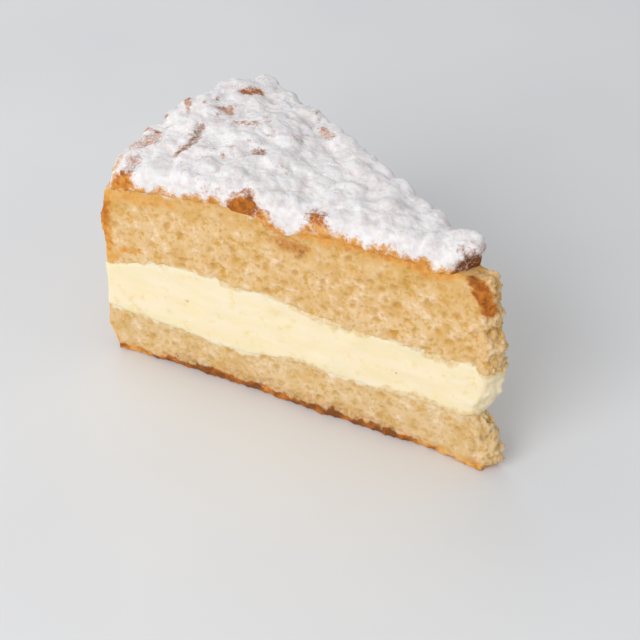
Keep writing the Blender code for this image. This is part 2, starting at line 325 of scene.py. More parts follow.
def top_crust_at(place, depth):
    """The baked band just below the crumbs, which is stronger in some parts of the slice than in others."""
    strong = soft_step(TOP_CRUST_STRONG_FROM - TOP_CRUST_FADE_IN, TOP_CRUST_STRONG_FROM, place.x)
    strong *= soft_step(TOP_CRUST_STRONG_TO + TOP_CRUST_FADE_OUT, TOP_CRUST_STRONG_TO, place.x)
    strong = max(strong, TOP_PATCH * soft_step(0.25, 0.6, grain(place, TOP_PATCH_SIZE, 12.0)))
    share = TOP_CRUST_FAINT + (1.0 - TOP_CRUST_FAINT) * strong
    thickness = TOP_CRUST_THIN + (TOP_CRUST_THICK - TOP_CRUST_THIN) * strong
    return share * soft_step(thickness, 0.2 * thickness, depth), TOP_CRUST_BROWNING * share


def carve_sponge(piece, coarseness, wall_tree, wall_crust, wall_browning, cream_tree, top_tree):
    """Opens the crumb on every face that shows, and notes where it is baked, golden, deep or creamy, and its
    relief and pores for the painted highlight and shade.
    """
    notes = {"rise": [], "pore": [], "crust": [], "baked": [], "gold": [], "dusted": [], "smear": []}
    neighbour_trees = [tree for tree in (cream_tree, top_tree) if tree is not None]
    normals = [vert.normal.copy() for vert in piece.data.vertices]
    for vert, normal in zip(piece.data.vertices, normals):
        place = vert.co.copy()
        lift, rise, pore = crumb_at(place)
        lift *= coarseness
        ragged = WALL_SWAY * grain(place, WALL_SWAY_SIZE, 11.0)
        ragged += WALL_FRAY * grain(place, WALL_FRAY_SIZE, 11.5)
        inward = away(wall_tree, place, WALL_REACH) + wall_crust * ragged
        skin = soft_step(SKIN_FROM, SKIN_TO, normal.x)
        cream_away = away(cream_tree, place, CREAM_REACH)
        smear = soft_step(SEAM_SOFTNESS, -SEAM_SOFTNESS, cream_away - seam_wander(place))
        top_away = 1.0 if top_tree is None else away(top_tree, place, TOP_REACH)
        exposed = soft_step(0.8 * EXPOSED_FROM, 1.2 * EXPOSED_FROM, min(cream_away, top_away))
        level = soft_step(FLAT_FROM, FLAT_TO, abs(normal.z))
        shows = 1.0 - level * (1.0 - exposed * soft_step(0.0, 0.5, normal.z))
        lift = lift * (1.0 - max(SKIN_CALM * skin, SMEAR_CALM * smear)) + torn_at(place)
        vert.co = place + normal * lift * shows
        for tree in neighbour_trees:
            vert.co += seam_step(tree, place, normal, SEAM_FILL, SEAM_PULL, SEAM_REACH) * (1.0 - level)
        if place.z < FOOT_CLEARANCE:
            vert.co.z = max(vert.co.z, 0.0)
        depth = top_away + TOP_SWAY * grain(place, TOP_SWAY_SIZE, 17.0)
        depth += TOP_FRAY * grain(place, TOP_FRAY_SIZE, 17.5)
        wall = max(skin, soft_step(wall_crust, 0.2 * wall_crust, inward))
        crusts = [
            (wall, wall_browning * wall),
            marks_at(place),
            foot_crust_at(place),
            top_crust_at(place, depth),
        ]
        # rise is the crumb's relief from 0 to 1 and pore its depth in a pore; the material paints highlight
        # and shade from them
        notes["rise"].append(rise)
        notes["pore"].append(pore * (1.0 - 0.5 * skin))
        notes["crust"].append(max(share for share, _ in crusts))
        notes["baked"].append(max(min(share * 4.0, 1.0) * browned for share, browned in crusts))
        notes["gold"].append(soft_step(GOLD_DEPTH, TOP_CRUST_THIN, depth))
        dust_depth = depth + DUST_REACH * grain(place, DUST_SWAY_SIZE, 44.0)
        notes["dusted"].append(DUST_COVER * soft_step(DUST_REACH, 0.0, dust_depth))
        notes["smear"].append(smear)
    paint(piece, notes)


LIGHT_SPREAD = (1.0, 0.62, 0.36)
FOOD_GLOSS = 0.3


def start_material(name, roughness, soft_reach, soft_share):
    """A material with its shader's own values set, ready for colour and bump."""
    material = bpy.data.materials.new(name)
    material.use_nodes = True
    shader = material.node_tree.nodes["Principled BSDF"]
    shader.inputs["Roughness"].default_value = roughness
    shader.inputs["Subsurface Weight"].default_value = soft_share
    shader.inputs["Subsurface Scale"].default_value = soft_reach
    shader.inputs["Subsurface Radius"].default_value = LIGHT_SPREAD
    shader.inputs["Specular IOR Level"].default_value = FOOD_GLOSS
    return material, material.node_tree, shader


def speckle(tree, size, detail=2.0, rough=0.5, stretch=(1.0, 1.0, 1.0)):
    """A noise texture whose grains have a real size, read at the place on the cake."""
    place = tree.nodes.new("ShaderNodeTexCoord")
    mapping = tree.nodes.new("ShaderNodeMapping")
    mapping.inputs["Scale"].default_value = stretch
    texture = tree.nodes.new("ShaderNodeTexNoise")
    texture.inputs["Scale"].default_value = 1.0 / size
    texture.inputs["Detail"].default_value = detail
    texture.inputs["Roughness"].default_value = rough
    tree.links.new(place.outputs["Object"], mapping.inputs["Vector"])
    tree.links.new(mapping.outputs["Vector"], texture.inputs["Vector"])
    return texture.outputs["Fac"]


def note(tree, name):
    """Reads a number that was kept for each vertex."""
    reader = tree.nodes.new("ShaderNodeAttribute")
    reader.attribute_name = name
    return reader.outputs["Fac"]


def ramp(tree, factor, stops):
    """Colours along a factor: (position, (red, green, blue)) for each stop."""
    node = tree.nodes.new("ShaderNodeValToRGB")
    elements = node.color_ramp.elements
    while len(elements) < len(stops):
        elements.new(0.5)
    for element, (position, colour) in zip(elements, stops):
        element.position = position
        element.color = (*colour, 1.0)
    tree.links.new(factor, node.inputs["Fac"])
    return node.outputs["Color"]


def tint(tree, factor, under, over, kind="MIX"):
    """Lays one colour over another by a factor."""
    node = tree.nodes.new("ShaderNodeMix")
    node.data_type = "RGBA"
    node.blend_type = kind
    for socket, value in ((node.inputs["Factor"], factor), (node.inputs[6], under), (node.inputs[7], over)):
        if isinstance(value, bpy.types.NodeSocket):
            tree.links.new(value, socket)
        elif isinstance(value, tuple):
            socket.default_value = (*value, 1.0)
        else:
            socket.default_value = value
    return node.outputs[2]


def sums(tree, kind, first, second):
    """One step of arithmetic on two factors, kept within 0 and 1."""
    node = tree.nodes.new("ShaderNodeMath")
    node.operation = kind
    node.use_clamp = True
    for socket, value in ((node.inputs[0], first), (node.inputs[1], second)):
        if isinstance(value, bpy.types.NodeSocket):
            tree.links.new(value, socket)
        else:
            socket.default_value = value
    return node.outputs[0]


def roughen(tree, shader, height, strength, distance):
    """Fine relief below the size of the mesh's cells."""
    bump = tree.nodes.new("ShaderNodeBump")
    bump.inputs["Strength"].default_value = strength
    bump.inputs["Distance"].default_value = distance
    tree.links.new(height, bump.inputs["Height"])
    tree.links.new(bump.outputs["Normal"], shader.inputs["Normal"])


# How much a layer of colour covers, and the colours that several pieces share
NO_COVER, FULL_COVER = (0.0, 0.0, 0.0), (1.0, 1.0, 1.0)
CREAM_COLOUR = (0.94, 0.80, 0.57)
SUGAR_COLOUR = (0.94, 0.90, 0.888)
CRUST_STOPS = (
    (0.10, (0.82, 0.52, 0.20)),
    (0.42, (0.80, 0.38, 0.08)),
    (0.68, (0.55, 0.17, 0.018)),
    (0.95, (0.24, 0.075, 0.015)),
)

# The sponge's finish: the size of each kind of fleck, and how strongly each tint lies over the crumb
SPONGE_ROUGHNESS, SPONGE_GLOW_REACH, SPONGE_GLOW = 0.88, 0.0016, 0.25
# Fleck size, and how much of the crumb's relief is painted into the colour as highlight and shade
SPONGE_FLECK_SIZE, SPONGE_FLECK_SHARE, SPONGE_PAINTED_RELIEF_SHARE = 0.0013, 0.7, 0.3
SPONGE_PATCH_SIZE, SPONGE_PATCH_COVER = 0.0060, (0.6, 0.6, 0.6)
SPONGE_CRUST_PATCH_SIZE = 0.0022
# The gold near the top, and how strongly the pores are painted with shade
SPONGE_GOLD, SPONGE_PAINTED_PORE_SHADE = 0.5, 0.75
SPONGE_BUMP_SIZE, SPONGE_BUMP, SPONGE_BUMP_HEIGHT = 0.0007, 0.8, 0.0004
SMEAR_BREAK_SIZE, SMEAR_BREAKS, SMEAR_COVER = 0.0016, 0.6, 0.92
CRUST_BREAKS = 1.3
DUST_GRAIN_SIZE, DUST_BREAKS, DUST_STRENGTH = 0.0007, 1.4, 0.7


def patchy(tree, cover, texture, breaks, bare=0.20, full=0.75):
    """Breaks the soft edge of a cover into patches along a noise texture."""
    over = sums(tree, "MULTIPLY", sums(tree, "SUBTRACT", texture, 0.5), breaks)
    under = sums(tree, "MULTIPLY", sums(tree, "SUBTRACT", 0.5, texture), breaks)
    broken = sums(tree, "SUBTRACT", sums(tree, "ADD", cover, over), under)
    return ramp(tree, broken, ((bare, NO_COVER), (full, FULL_COVER)))


def crust_colours(tree, baked, size):
    """Baked crust, from gold where it is thin to dark brown where it is thick."""
    patches = sums(tree, "MULTIPLY", sums(tree, "SUBTRACT", speckle(tree, size, 3.0, 0.6), 0.3), 0.9)
    depth = sums(tree, "ADD", sums(tree, "MULTIPLY", baked, 0.8), sums(tree, "SUBTRACT", patches, 0.1))
    return ramp(tree, depth, CRUST_STOPS)


def sponge_material(name, pale, middle, gold, painted_pore_shade):
    """Matt open crumb: pale flecks over gold, painted highlight on the raised crumb and painted shade in its
    low places, deeper gold painted as shade in the pores, brown where it is baked.
    """
    material, tree, shader = start_material(name, SPONGE_ROUGHNESS, SPONGE_GLOW_REACH, SPONGE_GLOW)
    flecks = speckle(tree, SPONGE_FLECK_SIZE, 4.0, 0.7)
    # Painted highlight and shade: pale where the relief stands up, gold where it lies low, mixed with random
    # flecks
    rise = sums(tree, "MULTIPLY", note(tree, "rise"), SPONGE_PAINTED_RELIEF_SHARE)
    height = sums(tree, "ADD", rise, sums(tree, "MULTIPLY", flecks, SPONGE_FLECK_SHARE))
    colour = ramp(tree, height, ((0.36, gold), (0.45, middle), (0.54, middle), (0.64, pale)))
    patches = speckle(tree, SPONGE_PATCH_SIZE, 3.0)
    colour = tint(tree, ramp(tree, patches, ((0.45, NO_COVER), (0.66, SPONGE_PATCH_COVER))), colour, gold)
    colour = tint(tree, sums(tree, "MULTIPLY", note(tree, "gold"), SPONGE_GOLD), colour, gold)
    # Painted shade in the pores: deeper gold
    colour = tint(tree, sums(tree, "MULTIPLY", note(tree, "pore"), SPONGE_PAINTED_PORE_SHADE), colour, painted_pore_shade)
    smear = patchy(tree, note(tree, "smear"), speckle(tree, SMEAR_BREAK_SIZE, 3.0), SMEAR_BREAKS)
    colour = tint(tree, sums(tree, "MULTIPLY", smear, SMEAR_COVER), colour, CREAM_COLOUR)
    crust = patchy(tree, note(tree, "crust"), flecks, CRUST_BREAKS)
    colour = tint(tree, crust, colour, crust_colours(tree, note(tree, "baked"), SPONGE_CRUST_PATCH_SIZE))
    powder = speckle(tree, DUST_GRAIN_SIZE, 3.0, 0.7)
    dust = patchy(tree, note(tree, "dusted"), powder, DUST_BREAKS)
    colour = tint(tree, sums(tree, "MULTIPLY", dust, DUST_STRENGTH), colour, SUGAR_COLOUR)
    tree.links.new(colour, shader.inputs["Base Color"])
    roughen(tree, shader, speckle(tree, SPONGE_BUMP_SIZE, 4.0, 0.8), SPONGE_BUMP, SPONGE_BUMP_HEIGHT)
    return material


LOWER_COARSENESS = 0.5
LOWER_PALE, LOWER_MIDDLE = (0.89, 0.69, 0.46), (0.81, 0.575, 0.305)
# The last colour is painted shade, laid into the pores
LOWER_GOLD, LOWER_PAINTED_PORE_SHADE = (0.70, 0.425, 0.135), (0.60, 0.35, 0.09)

lower_sponge = dense_copy("lower_sponge", "lower_sponge_crumb", SPONGE_CELL)
soften(lower_sponge, 1)
refine_sides(lower_sponge)
soften(lower_sponge, 2)
carve_sponge(lower_sponge, LOWER_COARSENESS, solid_tree("lower_sponge", on_wall), LOWER_WALL_CRUST,
             LOWER_WALL_BROWNING, solid_tree("cream_filling"), None)
lower_sponge.data.materials.append(
    sponge_material("lower sponge crumb", LOWER_PALE, LOWER_MIDDLE, LOWER_GOLD, LOWER_PAINTED_PORE_SHADE))
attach(lower_sponge, "root")
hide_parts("lower_sponge")


# The cream filling: a thick, soft vanilla cream set between the sponges. The knife left its cut faces nearly
# smooth, with faint drag marks and a few crumbs of sponge pulled into it; it is pressed into both sponges.

CREAM_CELL = 0.0006
CREAM_STRETCH, CREAM_SPREAD, CREAM_STRETCH_REACH = 0.0014, 0.00015, 0.0034
CREAM_SWELL_SIZE, CREAM_SWELL = 0.0090, 0.00035
CREAM_DRAG_SIZE, CREAM_DRAG, CREAM_DRAG_PULL = 0.0026, 0.00013, 0.35
CREAM_TEAR = 0.7
CREAM_FLAT_FROM, CREAM_FLAT_TO = 0.5, 0.8
SPONGE_REACH = 0.006
CREAM_ROUGHNESS, CREAM_GLOW_REACH, CREAM_GLOW, CREAM_GLOSS = 0.48, 0.0032, 0.35, 0.4
CREAM_SHADE = (0.91, 0.77, 0.48)
CREAM_STREAK_SIZE, CREAM_STREAK_STRETCH = 0.0060, (0.5, 0.5, 1.6)
CREAM_CRUMB_STOPS = (
    (0.38, (0.73, 0.46, 0.15)),
    (0.50, (0.81, 0.60, 0.32)),
    (0.64, (0.87, 0.68, 0.45)),
)
CREAM_STRAY_SIZE, CREAM_STRAY_COVER, CREAM_STRAY_COLOUR = 0.0032, (0.6, 0.6, 0.6), (0.86, 0.66, 0.28)
CREAM_BUMP_SIZE, CREAM_BUMP, CREAM_BUMP_HEIGHT = 0.0012, 0.35, 0.0003
CREAM_BUMP_STRETCH = (0.6, 0.6, 1.5)


def press_cream(piece, sponge_trees):
    """Pushes the cream into both sponges, leaves the knife's drag marks, and notes where crumb covers it."""
    notes = {"crumbed": []}
    normals = [vert.normal.copy() for vert in piece.data.vertices]
    for vert, normal in zip(piece.data.vertices, normals):
        place = vert.co.copy()
        drag = Vector((CREAM_DRAG_PULL * place.x, CREAM_DRAG_PULL * place.y, place.z))
        sponge_away = min(away(tree, place, SPONGE_REACH) for tree in sponge_trees)
        covered = soft_step(1.2 * EXPOSED_FROM, 0.8 * EXPOSED_FROM, sponge_away)
        flat = soft_step(CREAM_FLAT_FROM, CREAM_FLAT_TO, abs(normal.z)) * covered
        for tree in sponge_trees:
            vert.co += seam_step(tree, place, normal, CREAM_SPREAD, CREAM_STRETCH, CREAM_STRETCH_REACH)
        edge_away = min(away(tree, vert.co, SPONGE_REACH) for tree in sponge_trees)
        crumbed = soft_step(SEAM_SOFTNESS, -SEAM_SOFTNESS, edge_away + seam_wander(vert.co))
        lift = CREAM_SWELL * grain(place, CREAM_SWELL_SIZE, 21.0)
        lift += CREAM_DRAG * grain(drag, CREAM_DRAG_SIZE, 23.0)
        lift += CREAM_TEAR * torn_at(place) + crumbed * crumb_at(place)[0]
        vert.co += normal * lift * (1.0 - flat)
        notes["crumbed"].append(crumbed)
    paint(piece, notes)


def cream_material():
    """Pale yellow cream: soft satin, light passes a little way in, crumbs mixed in along its edges."""
    material, tree, shader = start_material("vanilla cream", CREAM_ROUGHNESS, CREAM_GLOW_REACH, CREAM_GLOW)
    shader.inputs["Specular IOR Level"].default_value = CREAM_GLOSS
    streaks = speckle(tree, CREAM_STREAK_SIZE, 2.0, 0.5, CREAM_STREAK_STRETCH)
    colour = ramp(tree, streaks, ((0.35, CREAM_SHADE), (0.62, CREAM_COLOUR)))
    crumb = ramp(tree, speckle(tree, SPONGE_FLECK_SIZE, 4.0, 0.7), CREAM_CRUMB_STOPS)
    crumbed = patchy(tree, note(tree, "crumbed"), speckle(tree, SMEAR_BREAK_SIZE, 3.0), SMEAR_BREAKS)
    colour = tint(tree, sums(tree, "MULTIPLY", crumbed, SMEAR_COVER), colour, crumb)
    patches = speckle(tree, CREAM_STRAY_SIZE, 3.0, 0.6)
    stray = ramp(tree, patches, ((0.57, NO_COVER), (0.70, CREAM_STRAY_COVER)))
    colour = tint(tree, stray, colour, CREAM_STRAY_COLOUR)
    tree.links.new(colour, shader.inputs["Base Color"])
    smears = speckle(tree, CREAM_BUMP_SIZE, 3.0, 0.6, CREAM_BUMP_STRETCH)
    roughen(tree, shader, smears, CREAM_BUMP, CREAM_BUMP_HEIGHT)
    return material


cream = dense_copy("cream_filling", "vanilla_cream", CREAM_CELL)
soften(cream, 3)
press_cream(cream, [solid_tree("lower_sponge"), solid_tree("upper_sponge")])
cream.data.materials.append(cream_material())
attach(cream, "root")
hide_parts("cream_filling")


# The upper sponge: the second baked layer, twice as thick as the first. Its wall is browned where it lay
# against the tin, its top is baked darker under the crumbs, and its thin end at the tip is torn and uneven.

UPPER_COARSENESS = 0.9
UPPER_PALE, UPPER_MIDDLE = (0.93, 0.69, 0.46), (0.83, 0.565, 0.28)
# The last colour is painted shade, laid into the pores
UPPER_GOLD, UPPER_PAINTED_PORE_SHADE = (0.71, 0.395, 0.095), (0.62, 0.33, 0.06)

upper_sponge = dense_copy("upper_sponge", "upper_sponge_crumb", SPONGE_CELL)
soften(upper_sponge, 1)
refine_sides(upper_sponge)
soften(upper_sponge, 2)
carve_sponge(upper_sponge, UPPER_COARSENESS, solid_tree("upper_sponge", on_wall), UPPER_WALL_CRUST,
             UPPER_WALL_BROWNING, solid_tree("cream_filling"), solid_tree("crumb_topping"))
upper_sponge.data.materials.append(
    sponge_material("upper sponge crumb", UPPER_PALE, UPPER_MIDDLE, UPPER_GOLD, UPPER_PAINTED_PORE_SHADE))
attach(upper_sponge, "root")
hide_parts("upper_sponge")


# The crumb topping: baked lumps of butter, sugar and flour, run together on the upper sponge, and a thick
# fall of icing sugar over them. The sugar fills the hollows and hides most of the brown; bare patches and
# the baked edge along the cut show the crumbs' own colour.

TOPPING_FIRST_CELL, TOPPING_CELL = 0.0008, 0.00042
TOPPING_ROUNDING = 8

# The grid of heights that evens out the solid's lumps
LEVEL_SPACING = 0.0008
LEVEL_REACH = 5
LEVEL_SHARE = 0.70
LEVEL_FROM, LEVEL_TO, LEVEL_UP_TO = 0.0005, 0.0030, 0.004
LOOK_DOWN_FROM = 1.0

# The heap's relief, from broad swells down to dust
TOPPING_SPREAD, TOPPING_STRETCH, TOPPING_STRETCH_REACH = 0.00045, 0.0022, 0.0030
TOPPING_PLUMP = 0.0006
SWELL_SIZE, SWELL_HEIGHT = 0.0080, 0.00130
LUMP_SIZE, LUMP_HEIGHT = 0.0038, 0.00060
NUGGET_SIZE, NUGGET_HEIGHT = 0.0020, 0.00034
POWDER_SIZE, POWDER_HEIGHT = 0.0011, 0.00022
DUST_SIZE, DUST_HEIGHT = 0.0006, 0.00013
TIP_COARSER, TIP_COARSER_FADE = 0.7, 0.008
BARE_DEPTH = 0.0005
UNDER_FROM, UNDER_TO = -0.45, -0.8
HEAP_FOOT, HEAP_FOOT_SHARE = 0.0022, 0.05
HEAP_FOOT_SWAY_SIZE, HEAP_FOOT_SWAY = 0.0030, 0.0008
HEAP_REACH = 0.008

# Where the sugar is missing: the baked band along the foot, thin falls near the rim, and single patches
CRUST_BAND = 0.0026
BAND_SWAY_SIZE, BAND_SWAY = 0.0042, 0.0012
BAND_FRAY_SIZE, BAND_FRAY = 0.0014, 0.0007
THIN_SUGAR = 0.70
THIN_FROM_X, THIN_TO_X = 0.010, -0.045
THIN_SPECK_SIZE, THIN_SPECK = 0.0022, 0.7
THIN_PATCH_SIZE, THIN_PATCH = 0.010, 0.6
HOLLOW_NUGGETS = 0.6
BAND_BROWNING = 0.50
INNER_BROWNING, INNER_FROM, INNER_TO = 0.85, 0.0020, 0.0045
PATCH_SWAY_SIZE, PATCH_SWAY = 0.0015, 0.5
PATCH_EDGE, PATCH_CORE = 1.9, 0.3
PATCH_BROWN_EDGE, PATCH_BROWN_CORE = 1.7, 0.7
BARE_PATCHES = {
    "near corner": ((-0.0450, -0.0300, 0.0615), (-0.0485, -0.0305, 0.0595), 0.0026, 0.62, 1.00),
    "burnt crumb": ((-0.0130, -0.0205, 0.0625), (-0.0095, -0.0195, 0.0645), 0.0028, 0.84, 1.00),
    "gold crumb": ((-0.0060, -0.0183, 0.0613), (-0.0060, -0.0183, 0.0613), 0.0024, 0.52, 0.90),
    "middle": ((0.0090, -0.0140, 0.0655), (0.0120, -0.0133, 0.0622), 0.0026, 0.45, 0.85),
    "groove": ((-0.0383, -0.0185, 0.0640), (-0.0370, -0.0140, 0.0675), 0.0013, 1.10, 0.66),
    "end of the groove": ((-0.0375, -0.0120, 0.0675), (-0.0410, -0.0045, 0.0685), 0.0014, 1.10, 0.58),
    "pit": ((-0.0197, -0.0050, 0.0688), (-0.0180, -0.0046, 0.0684), 0.0016, 1.10, 0.66),
    "far corner": ((-0.0455, 0.0168, 0.0683), (-0.0433, 0.0197, 0.0675), 0.0018, 0.80, 0.80),
    "thin sugar at the rim": ((-0.0514, -0.0190, 0.0640), (-0.0495, -0.0145, 0.0662), 0.0028, 0.60, 0.50),
    "thin sugar by the cut": ((-0.0470, -0.0250, 0.0645), (-0.0455, -0.0250, 0.0652), 0.0020, 0.60, 0.50),
    "far edge": ((-0.0165, 0.0165, 0.0680), (-0.0110, 0.0148, 0.0677), 0.0014, 0.70, 0.52),
    "tip": ((0.0475, -0.0015, 0.0632), (0.0480, 0.0020, 0.0625), 0.0028, 1.20, 0.82),
}

TOPPING_ROUGHNESS, TOPPING_GLOW_REACH, TOPPING_GLOW, TOPPING_GLOSS = 0.92, 0.0014, 0.3, 0.2
SUGAR_SHADE = (0.80, 0.735, 0.72)
SUGAR_MOTTLE_SIZE = 0.0032
SUGAR_BREAK_SIZE, SUGAR_BREAKS, SUGAR_BARE, SUGAR_FULL = 0.0008, 1.5, 0.16, 0.78
# Painted shade in the heap's low places: how strong it is, and its grey-brown colour
HOLLOW_SHADE, HOLLOW_SHADE_COLOUR = 0.2, (0.60, 0.51, 0.48)
TOPPING_CRUST_PATCH_SIZE = 0.0020
TOPPING_BUMP_SIZE, TOPPING_BUMP, TOPPING_BUMP_HEIGHT = 0.0006, 0.7, 0.0004


def top_levels(tree):
    """The height of a heap's top over a grid of places, as it is and with its lumps evened out."""
    levels = {}
    low, high = cad_box
    for column in range(int(low[0] / LEVEL_SPACING), int(high[0] / LEVEL_SPACING) + 1):
        for row in range(int(low[1] / LEVEL_SPACING), int(high[1] / LEVEL_SPACING) + 1):
            above = Vector((column * LEVEL_SPACING, row * LEVEL_SPACING, LOOK_DOWN_FROM))
            found = tree.ray_cast(above, Vector((0.0, 0.0, -1.0)))
            if found[0] is not None:
                levels[column, row] = found[0].z
    evened = levels
    for way in ((1, 0), (0, 1)):
        blurred = {}
        for column, row in evened:
            total, weight = 0.0, 0.0
            for step in range(-2 * LEVEL_REACH, 2 * LEVEL_REACH + 1):
                level = evened.get((column + way[0] * step, row + way[1] * step))
                if level is not None:
                    share = math.exp(-0.5 * (step / LEVEL_REACH) ** 2)
                    total += share * level
                    weight += share
            blurred[column, row] = total / weight
        evened = blurred
    return levels, evened


def level_at(levels, place):
    """The height in a grid at a place, between its grid points; None off the grid."""
    column, row = place.x / LEVEL_SPACING, place.y / LEVEL_SPACING
    first, second = math.floor(column), math.floor(row)
    total, weight = 0.0, 0.0
    for corner in ((first, second), (first + 1, second), (first, second + 1), (first + 1, second + 1)):
        level = levels.get(corner)
        share = (1.0 - abs(column - corner[0])) * (1.0 - abs(row - corner[1]))
        if level is not None and share > 0.0:
            total += share * level
            weight += share
    return total / weight if weight > 0.0 else None


def even_out(piece, sponge_tree):
    """Turns the solid's separate round lumps into one uneven heap, and leaves its foot where it is."""
    tree = BVHTree.FromPolygons([vert.co for vert in piece.data.vertices],
                                [face.vertices for face in piece.data.polygons])
    levels, evened = top_levels(tree)
    for vert in piece.data.vertices:
        top, target = level_at(levels, vert.co), level_at(evened, vert.co)
        if top is not None:
            above = soft_step(LEVEL_FROM, LEVEL_TO, away(sponge_tree, vert.co, LEVEL_UP_TO))
            vert.co.z += LEVEL_SHARE * (target - top) * above


def bare_at(place):
    """How bare of sugar a place is, and how baked the crumbs there are, from the patches it missed."""
    bare = 0.0
    baked = BAND_BROWNING
    for start, end, width, browned, missed in BARE_PATCHES.values():
        off = from_streak(place, start, end, width) + PATCH_SWAY * grain(place, PATCH_SWAY_SIZE, 27.0)
        bare = max(bare, missed * soft_step(PATCH_EDGE, PATCH_CORE, off))
        baked = max(baked, browned * soft_step(PATCH_BROWN_EDGE, PATCH_BROWN_CORE, off))
    return bare, baked


def heap_crumbs(piece, sponge_tree):
    """Turns the solid's lumps into a snowy heap, and notes how much sugar lies on it, how baked it is, and
    its hollows for painted shade.
    """
    notes = {"sugar": [], "hollow": [], "baked": []}
    normals = [vert.normal.copy() for vert in piece.data.vertices]
    for vert, normal in zip(piece.data.vertices, normals):
        place = vert.co.copy()
        lumps = grain(place, LUMP_SIZE, 31.0)
        nuggets = grain(place, NUGGET_SIZE, 33.0)
        height = SWELL_HEIGHT * grain(place, SWELL_SIZE, 30.0)
        height += LUMP_HEIGHT * lumps
        height += NUGGET_HEIGHT * nuggets
        powder = POWDER_HEIGHT * grain(place, POWDER_SIZE, 35.0)
        height += powder + DUST_HEIGHT * grain(place, DUST_SIZE, 37.0)
        coarser = 1.0 + TIP_COARSER * soft_step(TORN_FROM_X - TIP_COARSER_FADE, TORN_FROM_X, place.x)
        height = TOPPING_PLUMP + height * coarser
        bare, baked = bare_at(place)
        under = soft_step(UNDER_FROM, UNDER_TO, normal.z)
        rise = away(sponge_tree, place, HEAP_REACH)
        foot = soft_step(0.0, HEAP_FOOT, rise + HEAP_FOOT_SWAY * grain(place, HEAP_FOOT_SWAY_SIZE, 38.0))
        free = HEAP_FOOT_SHARE + (1.0 - HEAP_FOOT_SHARE) * foot
        vert.co = place + normal * (height - BARE_DEPTH * bare) * (1.0 - under) * free
        vert.co += seam_step(sponge_tree, place, normal, TOPPING_SPREAD, TOPPING_STRETCH,
                             TOPPING_STRETCH_REACH)
        uneven = rise + BAND_SWAY * grain(place, BAND_SWAY_SIZE, 39.0)
        uneven += BAND_FRAY * grain(place, BAND_FRAY_SIZE, 39.5)
        band = soft_step(1.3 * CRUST_BAND, 0.4 * CRUST_BAND, uneven) * soft_step(0.75, 0.35, normal.z)
        near_rim = soft_step(THIN_FROM_X, THIN_TO_X, place.x)
        speck = THIN_SPECK * grain(place, THIN_SPECK_SIZE, 41.0)
        thin = soft_step(0.10, 0.70, speck + THIN_PATCH * grain(place, THIN_PATCH_SIZE, 43.0))
        notes["sugar"].append(1.0 - max(band, bare, THIN_SUGAR * near_rim * thin))
        # The heap's low places, which the material paints with grey-brown shade
        notes["hollow"].append(soft_step(-0.1, -0.6, lumps + HOLLOW_NUGGETS * nuggets))
        notes["baked"].append(max(baked, INNER_BROWNING * soft_step(INNER_FROM, INNER_TO, rise)))
    paint(piece, notes)


def topping_material():
    """White icing sugar over baked crumbs, with grey-brown painted shade in the hollows."""
    material, tree, shader = start_material("icing sugar over baked crumbs", TOPPING_ROUGHNESS,
                                            TOPPING_GLOW_REACH, TOPPING_GLOW)
    shader.inputs["Specular IOR Level"].default_value = TOPPING_GLOSS
    powder = speckle(tree, SUGAR_BREAK_SIZE, 3.0, 0.7)
    crumb = crust_colours(tree, note(tree, "baked"), TOPPING_CRUST_PATCH_SIZE)
    mottle = speckle(tree, SUGAR_MOTTLE_SIZE, 4.0, 0.65)
    sugar = ramp(tree, mottle, ((0.34, SUGAR_SHADE), (0.56, SUGAR_COLOUR)))
    # Painted shade: grey-brown in the heap's hollows
    sugar = tint(tree, sums(tree, "MULTIPLY", note(tree, "hollow"), HOLLOW_SHADE), sugar, HOLLOW_SHADE_COLOUR)
    cover = patchy(tree, note(tree, "sugar"), powder, SUGAR_BREAKS, SUGAR_BARE, SUGAR_FULL)
    tree.links.new(tint(tree, cover, crumb, sugar), shader.inputs["Base Color"])
    roughen(tree, shader, speckle(tree, TOPPING_BUMP_SIZE, 4.0, 0.8), TOPPING_BUMP, TOPPING_BUMP_HEIGHT)
    return material


topping = dense_copy("crumb_topping", "sugared_crumb_topping", TOPPING_FIRST_CELL)
upper_sponge_tree = solid_tree("upper_sponge")
even_out(topping, upper_sponge_tree)
soften(topping, TOPPING_ROUNDING)
even_cells(topping, TOPPING_CELL)
soften(topping, TOPPING_ROUNDING)
heap_crumbs(topping, upper_sponge_tree)
topping.data.materials.append(topping_material())
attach(topping, "root")
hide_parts("crumb_topping")


# Clots of icing sugar: some of the powder falls in small soft clots, which lie all over the topping and
# catch the light. Each is a rough little grain at its true size, sunk halfway into the powder.

CLOT_COUNT = 700
CLOT_SMALLEST, CLOT_LARGEST = 0.00018, 0.00046
CLOT_RAGGED, CLOT_SUNK = 0.35, 0.5
CLOT_SEED = 5
SNOWY_LOOKS_UP, SNOWY_COVER = 0.15, 0.7

# Any strewn grain: its least and most stretch along each axis, and how far the draw leans to small ones
GRAIN_STRETCH = ((0.8, 1.4), (0.8, 1.2), (0.6, 1.0))
MOSTLY_SMALL = 2.2
GRAIN_BUMP, GRAIN_BUMP_HEIGHT = 0.5, 0.0002

CLOT_ROUGHNESS, CLOT_GLOW_REACH, CLOT_GLOW = 0.92, 0.0008, 0.15
CLOT_SHADE, CLOT_COLOUR, CLOT_FLECK_SIZE = (0.86, 0.82, 0.81), (0.94, 0.91, 0.90), 0.0006
CLOT_BUMP_SIZE = 0.0004


def faces_up(piece, least):
    """The vertices of a piece whose faces look up by at least a share."""
    return [vert for vert in piece.data.vertices if vert.normal.z > least]


